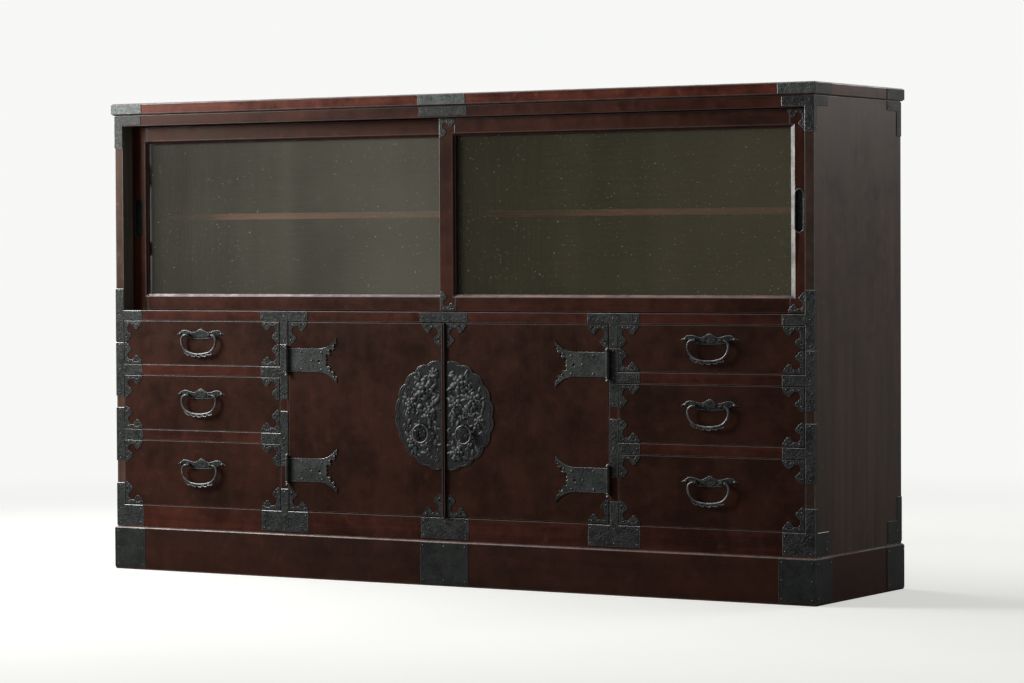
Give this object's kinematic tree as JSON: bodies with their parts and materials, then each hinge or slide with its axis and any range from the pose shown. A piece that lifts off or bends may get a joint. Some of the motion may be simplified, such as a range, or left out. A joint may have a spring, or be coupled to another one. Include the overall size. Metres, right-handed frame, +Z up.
{
  "type": "sideboard",
  "caption": "Long low lacquered sideboard with sliding glass doors over drawers and a pair of hinged doors, with black iron plates, handles and rings.",
  "frame": {"origin": "on the floor under the middle of the whole piece", "axes": "+X to the right as one faces the front, along the length; +Y to the back; +Z up"},
  "size_m": [1.8024, 0.4361, 1.07],
  "materials": {
    "frame_wood": "dark red lacquer, satin",
    "panel_wood": "dark brown-red lacquer, satin",
    "inner_wood": "stained, matt",
    "drawer_wood": "plain pale wood",
    "back_wood": "stained plywood, matt",
    "iron": "black hammered iron",
    "glass": "clear"
  },
  "bodies": {
    "carcase": {"top_board": "frame_wood", "left_side": "frame_wood", "right_side": "frame_wood", "top_rail": "frame_wood", "mid_board": "frame_wood", "bottom_rail": "frame_wood", "bottom_board": "inner_wood", "left_divider": "frame_wood", "right_divider": "frame_wood", "drawer_rails": "frame_wood", "drawer_runners": "inner_wood", "upper_partition": "inner_wood", "shelves": "inner_wood", "shelf_pegs": "iron", "back_panels": "back_wood", "plinth": "frame_wood", "top_plates": "iron", "frame_plates": "iron", "plinth_plates": "iron", "hinge_leaves": "iron", "door_catches": "iron"},
    "left_slide": {"left_slide_frame": "frame_wood", "left_slide_glass": "glass", "left_slide_pull": "iron"},
    "right_slide": {"right_slide_frame": "frame_wood", "right_slide_glass": "glass", "right_slide_iron": "iron"},
    "left_door": {"left_door_panel": "panel_wood", "left_door_iron": "iron", "left_medallion": "iron", "meeting_batten": "panel_wood"},
    "right_door": {"right_door_panel": "panel_wood", "right_door_iron": "iron", "right_medallion": "iron"},
    "left_pull_ring": {"left_ring": "iron"},
    "right_pull_ring": {"right_ring": "iron"},
    "left_low_drawer": {"left_low_front": "panel_wood", "left_low_box": "drawer_wood", "left_low_iron": "iron"},
    "left_low_handle": {"left_low_bail": "iron"},
    "left_middle_drawer": {"left_middle_front": "panel_wood", "left_middle_box": "drawer_wood", "left_middle_iron": "iron"},
    "left_middle_handle": {"left_middle_bail": "iron"},
    "left_high_drawer": {"left_high_front": "panel_wood", "left_high_box": "drawer_wood", "left_high_iron": "iron"},
    "left_high_handle": {"left_high_bail": "iron"},
    "right_low_drawer": {"right_low_front": "panel_wood", "right_low_box": "drawer_wood", "right_low_iron": "iron"},
    "right_low_handle": {"right_low_bail": "iron"},
    "right_middle_drawer": {"right_middle_front": "panel_wood", "right_middle_box": "drawer_wood", "right_middle_iron": "iron"},
    "right_middle_handle": {"right_middle_bail": "iron"},
    "right_high_drawer": {"right_high_front": "panel_wood", "right_high_box": "drawer_wood", "right_high_iron": "iron"},
    "right_high_handle": {"right_high_bail": "iron"}
  },
  "joints": [
    {"name": "left_slide_run", "type": "slide", "parent": "carcase", "child": "left_slide", "axis": [1, 0, 0], "range_m": [0, 0.8545]},
    {"name": "right_slide_run", "type": "slide", "parent": "carcase", "child": "right_slide", "axis": [1, 0, 0], "range_m": [-0.8545, 0]},
    {"name": "left_door_swing", "type": "hinge", "parent": "carcase", "child": "left_door", "pos_m": [-0.4125, -0.20945, 0.361], "axis": [0, 0, -1], "range_deg": [0, 90]},
    {"name": "left_ring_swing", "type": "hinge", "parent": "left_door", "child": "left_pull_ring", "pos_m": [-0.055, -0.21395, 0.35], "axis": [-1, 0, 0], "range_deg": [0, 170]},
    {"name": "right_door_swing", "type": "hinge", "parent": "carcase", "child": "right_door", "pos_m": [0.4125, -0.20945, 0.361], "axis": [0, 0, 1], "range_deg": [0, 90]},
    {"name": "right_ring_swing", "type": "hinge", "parent": "right_door", "child": "right_pull_ring", "pos_m": [0.055, -0.21395, 0.35], "axis": [-1, 0, 0], "range_deg": [0, 170]},
    {"name": "left_low_drawer_slide", "type": "slide", "parent": "carcase", "child": "left_low_drawer", "axis": [0, -1, 0], "range_m": [0, 0.3]},
    {"name": "left_low_bail_swing", "type": "hinge", "parent": "left_low_drawer", "child": "left_low_handle", "pos_m": [-0.6535, -0.21345, 0.245], "axis": [-1, 0, 0], "range_deg": [0, 170]},
    {"name": "left_middle_drawer_slide", "type": "slide", "parent": "carcase", "child": "left_middle_drawer", "axis": [0, -1, 0], "range_m": [0, 0.3]},
    {"name": "left_middle_bail_swing", "type": "hinge", "parent": "left_middle_drawer", "child": "left_middle_handle", "pos_m": [-0.6535, -0.21345, 0.404], "axis": [-1, 0, 0], "range_deg": [0, 170]},
    {"name": "left_high_drawer_slide", "type": "slide", "parent": "carcase", "child": "left_high_drawer", "axis": [0, -1, 0], "range_m": [0, 0.3]},
    {"name": "left_high_bail_swing", "type": "hinge", "parent": "left_high_drawer", "child": "left_high_handle", "pos_m": [-0.6535, -0.21345, 0.5405], "axis": [-1, 0, 0], "range_deg": [0, 170]},
    {"name": "right_low_drawer_slide", "type": "slide", "parent": "carcase", "child": "right_low_drawer", "axis": [0, -1, 0], "range_m": [0, 0.3]},
    {"name": "right_low_bail_swing", "type": "hinge", "parent": "right_low_drawer", "child": "right_low_handle", "pos_m": [0.6535, -0.21345, 0.245], "axis": [-1, 0, 0], "range_deg": [0, 170]},
    {"name": "right_middle_drawer_slide", "type": "slide", "parent": "carcase", "child": "right_middle_drawer", "axis": [0, -1, 0], "range_m": [0, 0.3]},
    {"name": "right_middle_bail_swing", "type": "hinge", "parent": "right_middle_drawer", "child": "right_middle_handle", "pos_m": [0.6535, -0.21345, 0.404], "axis": [-1, 0, 0], "range_deg": [0, 170]},
    {"name": "right_high_drawer_slide", "type": "slide", "parent": "carcase", "child": "right_high_drawer", "axis": [0, -1, 0], "range_m": [0, 0.3]},
    {"name": "right_high_bail_swing", "type": "hinge", "parent": "right_high_drawer", "child": "right_high_handle", "pos_m": [0.6535, -0.21345, 0.5405], "axis": [-1, 0, 0], "range_deg": [0, 170]}
  ]
}
